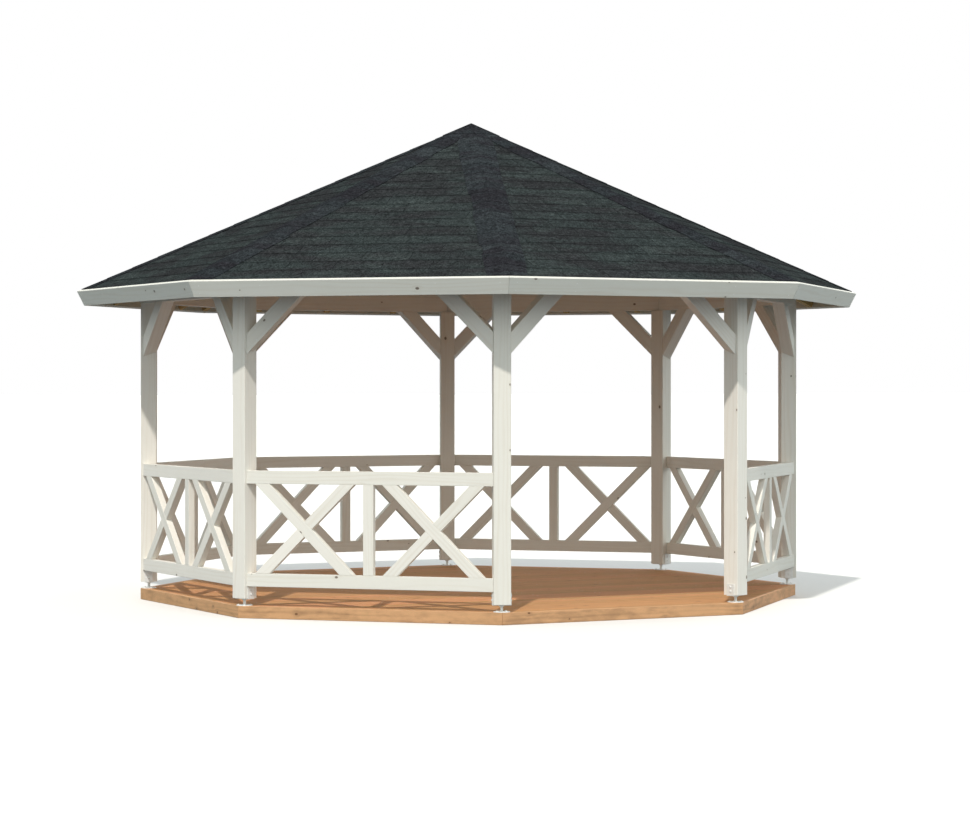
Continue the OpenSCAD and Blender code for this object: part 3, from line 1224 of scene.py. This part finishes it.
def add_tab(gather, turn, left, right, butt, head, lifts, number, shuffle):
    """One shingle tab: butt and head are runs, and lifts the top's height at both and the thickness."""
    butt_lift, head_lift, thick = lifts
    across = max(2, round((right - left) / 0.055))
    steps = 4
    inset = 0.001
    wave = [shuffle.uniform(-0.0012, 0.0002) for _ in range(across + 1)]
    raised = [shuffle.uniform(-0.0002, 0.0004) for _ in range(across + 1)]
    side_start = number // 1000 * 7.3
    points, laps, grain = [], [], []
    for layer in (0, 1):
        for step in range(steps + 1):
            share = step / steps
            for i in range(across + 1):
                run = butt + (head - butt) * share + wave[i] * (1 - share)
                lift = butt_lift + (head_lift - butt_lift) * share + raised[i] * (1 - share)
                lift = lift - thick * layer
                x = left + (right - left) * i / across
                edge = max(half_width(run, lift, inset), 0.0)
                x = min(max(x, -edge), edge)
                points.append(turn @ roof_point(x, run, lift))
                laps.append(share)
                grain.append((x + side_start, run, number))
    points, faces, kept = drop_slivers(points, sheet_faces(across, steps))
    if faces:
        gather.add(points, faces, [grain[i] for i in kept], [laps[i] for i in kept])


def drop_slivers(points, faces):
    """Merges points that meet and drops faces with no area. Also gives each kept point's old number."""
    by_place, new_number, kept = {}, [], []
    for i, point in enumerate(points):
        key = tuple(round(c, 5) for c in point)
        if key not in by_place:
            by_place[key] = len(kept)
            kept.append(i)
        new_number.append(by_place[key])
    sound = []
    for face in faces:
        ring = list(dict.fromkeys(new_number[i] for i in face))
        if len(ring) > 2:
            sound.append(ring)
    return [points[i] for i in kept], sound, kept


class GAZEBO_OT_shingles(bpy.types.Operator):
    """Courses of shingle tabs on the eight roof sides"""

    bl_idname = "gazebo.shingles"
    bl_label = "Shingles"

    def execute(self, context):
        for k in range(SIDES):
            gather = Gather()
            shuffle = random.Random(50 + k)
            self.starter(gather, k, shuffle)
            self.courses(gather, k, shuffle)
            # The first side's piece hides the whole CAD node
            nodes = ["shingles"] if k == 0 else []
            gather.build(f"shingle_courses_{k}", felt(), "shingle", *nodes)
        return {"FINISHED"}

    @staticmethod
    def starter(gather, k, shuffle):
        """The strip at the eave, under the first course."""
        r = roof()
        butt = EAVE_RUN - 0.004
        head = butt - r.course - 0.02
        reach = half_width(butt, 0.0, 0.0)
        thick = r.felt_thickness
        lifts = (TOP_LIFT - thick - 0.0004, TOP_LIFT - thick * 1.6, thick)
        length = 1.0
        left, number = -reach, 1000 * (k + 1) + 900
        while left < reach:
            add_tab(gather, side_turn(k), left, left + length, butt, head, lifts, number, shuffle)
            left += length
            number += 1

    @staticmethod
    def courses(gather, k, shuffle):
        """Courses of tabs; each tab runs up under the next two courses."""
        r = roof()
        number = 1000 * (k + 1)
        thick = r.felt_thickness
        fall = thick * (2 * r.course + TAB_OVERLAP) / r.course
        lifts = (TOP_LIFT, TOP_LIFT - fall, thick)
        for course in range(math.ceil(EAVE_RUN / r.course)):
            butt = EAVE_RUN - 0.002 - course * r.course
            head = max(butt - 2 * r.course - TAB_OVERLAP, 0.02)
            reach = half_width(butt, 0.0, 0.0)
            offset = r.tab_width * (0.5 * (course % 2)) + shuffle.uniform(-0.012, 0.012)
            count = math.ceil(reach / r.tab_width) + 1
            for i in range(-count, count):
                left = i * r.tab_width + offset + r.slot / 2
                right = left + r.tab_width - r.slot
                if left > reach or right < -reach or butt - head < 0.03:
                    continue
                number += 1
                slide = shuffle.uniform(-0.0015, 0.0015) if course else 0.0
                add_tab(gather, side_turn(k), left, right, butt + slide, head, lifts, number, shuffle)


def hip_point(turn, out, across, lift):
    """A point over a hip: out from the axis along the hip line, and across it, both level."""
    bend = math.sqrt(across * across + 0.005**2)
    square = out * math.cos(HALF_TURN) + bend * math.sin(HALF_TURN)
    z = ROOF_Z - square * math.tan(SLOPE) + lift / math.cos(SLOPE)
    return turn @ Vector((across, -out, z))


def add_hip_cap(gather, turn, butt, head, number, shuffle):
    """One folded cap over a hip; butt and head are level distances from the axis."""
    steps, sides = 4, 12
    thick = roof().felt_thickness
    wing = roof().cap_wing + shuffle.uniform(-0.006, 0.006)
    shift = shuffle.uniform(-0.005, 0.005)
    skew = shuffle.uniform(-0.025, 0.025)
    wave = [shuffle.uniform(-0.0015, 0.0015) for _ in range(sides + 1)]
    eave = EAVE_RUN * math.cos(SLOPE) - 0.002
    slide = number // 20 * 1.7
    points, laps, grain = [], [], []
    for layer in (0, 1):
        for step in range(steps + 1):
            share = step / steps
            for i in range(sides + 1):
                out = butt + (head - butt) * share + wave[i] * (1 - share)
                across = wing * (2 * i / sides - 1) + shift + skew * (butt - out)
                limit = max(out, 0.0) * math.tan(HALF_TURN) - 0.001
                across = min(max(across, -limit), limit)
                # The lowest cap is trimmed along both eaves
                out = min(out, (eave - abs(across) * math.sin(HALF_TURN)) / math.cos(HALF_TURN))
                lift = HIP_BUTT_LIFT + (HIP_HEAD_LIFT - HIP_BUTT_LIFT) * share - thick * layer
                points.append(hip_point(turn, out, across, lift))
                laps.append(share * 0.42)
                grain.append((across + slide, out, number))
    gather.add(points, sheet_faces(sides, steps), grain, laps)


class GAZEBO_OT_caps(bpy.types.Operator):
    """Hip caps and the apex cap"""

    bl_idname = "gazebo.caps"
    bl_label = "Hip and apex caps"

    def execute(self, context):
        gather = Gather()
        shuffle = random.Random(9)
        step = roof().cap_course * math.cos(math.atan(math.tan(SLOPE) * math.cos(HALF_TURN)))
        eave = EAVE_RUN * math.cos(SLOPE) / math.cos(HALF_TURN) - 0.004
        number = 20000
        for k in range(SIDES):
            turn = corner_turn(k)
            butt = eave
            while butt > 0.12:
                number += 1
                head = max(butt - step - 0.05, 0.03)
                add_hip_cap(gather, turn, butt, head, number, shuffle)
                butt -= step
        gather.build("hip_cap_strips", felt("hip_felt", HIP_TINT), "shingle", "hip_caps")
        self.apex()
        return {"FINISHED"}

    @staticmethod
    def apex():
        """The eight-sided cap over the point of the roof."""
        gather = Gather()
        rings, per_side = 6, 6
        points, laps, grain = [], [], []
        shuffle = random.Random(4)
        for layer in (0, 1):
            for ring in range(rings + 1):
                share = ring / rings
                radius = APEX_RING * (1 - share * 0.985)
                for k in range(SIDES):
                    for i in range(per_side):
                        across = (2 * i / per_side - 1) * math.tan(HALF_TURN)
                        out = radius * math.cos(HALF_TURN)
                        ripple = shuffle.uniform(-0.0004, 0.0004) * (1 - share) if layer == 0 else 0.0
                        lift = APEX_LIFT - APEX_THICKNESS * layer + ripple
                        z = ROOF_Z - out * math.tan(SLOPE) + lift / math.cos(SLOPE)
                        points.append(side_turn(k) @ Vector((across * out, -out, z)))
                        laps.append(share * 0.7)
                        grain.append((across * out, out, APEX_NUMBER))
        wide = SIDES * per_side
        under = wide * (rings + 1)
        faces = []
        for ring in range(rings):
            for i in range(wide):
                j = (i + 1) % wide
                a = ring * wide
                faces.append((a + i, a + j, a + wide + j, a + wide + i))
                faces.append((under + a + i, under + a + wide + i, under + a + wide + j, under + a + j))
        for i in range(wide):
            j = (i + 1) % wide
            faces.append((i, under + i, under + j, j))
        a = rings * wide
        faces.append(tuple(a + i for i in range(wide)))
        faces.append(tuple(under + a + i for i in reversed(range(wide))))
        gather.add(points, faces, grain, laps)
        gather.build("apex_cap_felt", felt("hip_felt", HIP_TINT), "shingle", "apex_cap")


class GAZEBO_OT_fascia(bpy.types.Operator):
    """Fascia boards round the eaves"""

    bl_idname = "gazebo.fascia"
    bl_label = "Fascia"

    def execute(self, context):
        timbers("fascia_boards", fascia_wood(), "white_wood", ["fascia"], 900)
        return {"FINISHED"}


# ---------------------------------------------------------------- stage


def floor_paint():
    """Plain pale floor with a faint mottle. It throws back less light than it seems to."""
    f = Finish("pale_floor")
    place = f.node("TexCoord").outputs["Object"]
    color = stage().floor
    mottle = f.times(f.noise(place, 0.8, 3.0), 0.12)
    seen = f.mix(mottle, color, shaded(color, 0.97))
    ray = f.node("LightPath").outputs["Is Camera Ray"]
    f.surface(f.mix(ray, stage().floor_bounce, seen), 0.9, specular=0.1)
    return f.material


class GAZEBO_OT_stage(bpy.types.Operator):
    """Pale floor, soft light and the camera"""

    bl_idname = "gazebo.stage"
    bl_label = "Stage"

    def execute(self, context):
        s = stage()
        mesh = bpy.data.meshes.new("studio_floor")
        corners = [(-1, -1), (1, -1), (1, 1), (-1, 1)]
        points = [(x * FLOOR_REACH, y * FLOOR_REACH, -0.001) for x, y in corners]
        mesh.from_pydata(points, [], [(0, 1, 2, 3)])
        mesh.materials.append(floor_paint())
        floor = bpy.data.objects.new("studio_floor", mesh)
        context.scene.collection.objects.link(floor)

        lamp = bpy.data.lights.new("key_light", "SUN")
        lamp.energy = s.sun_strength
        lamp.angle = s.sun_angle
        lamp.color = s.sun_color
        key = bpy.data.objects.new("key_light", lamp)
        key.rotation_euler = Vector(s.sun_from).to_track_quat("Z", "Y").to_euler()
        context.scene.collection.objects.link(key)

        self.surroundings(s)

        lens = bpy.data.cameras.new("camera")
        lens.lens = s.lens
        lens.sensor_width = 36.0
        lens.shift_x, lens.shift_y = s.shift
        lens.clip_end = 2000.0
        camera = bpy.data.objects.new("camera", lens)
        camera.location = s.camera_place
        camera.rotation_euler = s.camera_turn
        context.scene.collection.objects.link(camera)
        context.scene.camera = camera
        context.scene.view_settings.view_transform = "Standard"
        return {"FINISHED"}

    @staticmethod
    def surroundings(s):
        """An even pale backdrop, with a softer light of its own on the building."""
        world = bpy.data.worlds.new("studio")
        world.use_nodes = True
        bpy.context.scene.world = world
        tree = world.node_tree
        light = tree.nodes["Background"]
        split = tree.nodes.new("ShaderNodeSeparateXYZ")
        tree.links.new(tree.nodes.new("ShaderNodeTexCoord").outputs["Generated"], split.inputs[0])
        rise = tree.nodes.new("ShaderNodeValToRGB")
        tree.links.new(split.outputs[2], rise.inputs[0])
        stops = rise.color_ramp.elements
        heights = (0.05, 0.3, 0.52, 0.85)
        colors = (s.fill_low, s.fill_middle, s.fill_middle, s.fill_high)
        for height in heights[1:3]:
            stops.new(height)
        for stop, height, color in zip(stops, heights, colors):
            stop.position = height
            stop.color = (*color, 1.0)
        tree.links.new(rise.outputs[0], light.inputs[0])
        right = tree.nodes.new("ShaderNodeMath")
        right.operation = "MULTIPLY_ADD"
        right.inputs[1].default_value = s.fill_right
        right.inputs[2].default_value = 1.0
        tree.links.new(split.outputs[0], right.inputs[0])
        tree.links.new(right.outputs[0], light.inputs[1])
        seen = tree.nodes.new("ShaderNodeBackground")
        seen.inputs[0].default_value = (*s.backdrop, 1.0)
        ray = tree.nodes.new("ShaderNodeLightPath")
        choose = tree.nodes.new("ShaderNodeMixShader")
        tree.links.new(ray.outputs["Is Camera Ray"], choose.inputs[0])
        tree.links.new(light.outputs[0], choose.inputs[1])
        tree.links.new(seen.outputs[0], choose.inputs[2])
        tree.links.new(choose.outputs[0], tree.nodes["World Output"].inputs[0])


# ---------------------------------------------------------------- panel and registration

OPERATORS = (
    GAZEBO_OT_stage,
    GAZEBO_OT_deck,
    GAZEBO_OT_posts,
    GAZEBO_OT_railings,
    GAZEBO_OT_beams,
    GAZEBO_OT_feet,
    GAZEBO_OT_screws,
    GAZEBO_OT_rafters,
    GAZEBO_OT_roof_boards,
    GAZEBO_OT_shingles,
    GAZEBO_OT_caps,
    GAZEBO_OT_fascia,
)
SETTINGS = {
    "gazebo_timber": TimberSettings,
    "gazebo_roof": RoofSettings,
    "gazebo_feet": FootSettings,
    "gazebo_stage": StageSettings,
}


class GAZEBO_PT_panel(bpy.types.Panel):
    """Settings and steps of the gazebo"""

    bl_idname = "GAZEBO_PT_panel"
    bl_label = "Gazebo"
    bl_space_type = "VIEW_3D"
    bl_region_type = "UI"
    bl_category = "Gazebo"

    def draw(self, context):
        for name, group in SETTINGS.items():
            box = self.layout.box()
            for key in group.__annotations__:
                box.prop(getattr(context.scene, name), key)
        for operator in OPERATORS:
            self.layout.operator(operator.bl_idname)


def register():
    """Adds the settings, the operators and the panel."""
    for name, group in SETTINGS.items():
        bpy.utils.register_class(group)
        setattr(bpy.types.Scene, name, bpy.props.PointerProperty(type=group))
    for operator in OPERATORS:
        bpy.utils.register_class(operator)
    bpy.utils.register_class(GAZEBO_PT_panel)


def unregister():
    """Takes them away again."""
    bpy.utils.unregister_class(GAZEBO_PT_panel)
    for operator in reversed(OPERATORS):
        bpy.utils.unregister_class(operator)
    for name, group in SETTINGS.items():
        delattr(bpy.types.Scene, name)
        bpy.utils.unregister_class(group)


def main():
    """Builds every piece."""
    register()
    for operator in OPERATORS:
        group, name = operator.bl_idname.split(".")
        getattr(getattr(bpy.ops, group), name)()


if __name__ == "__main__":
    main()
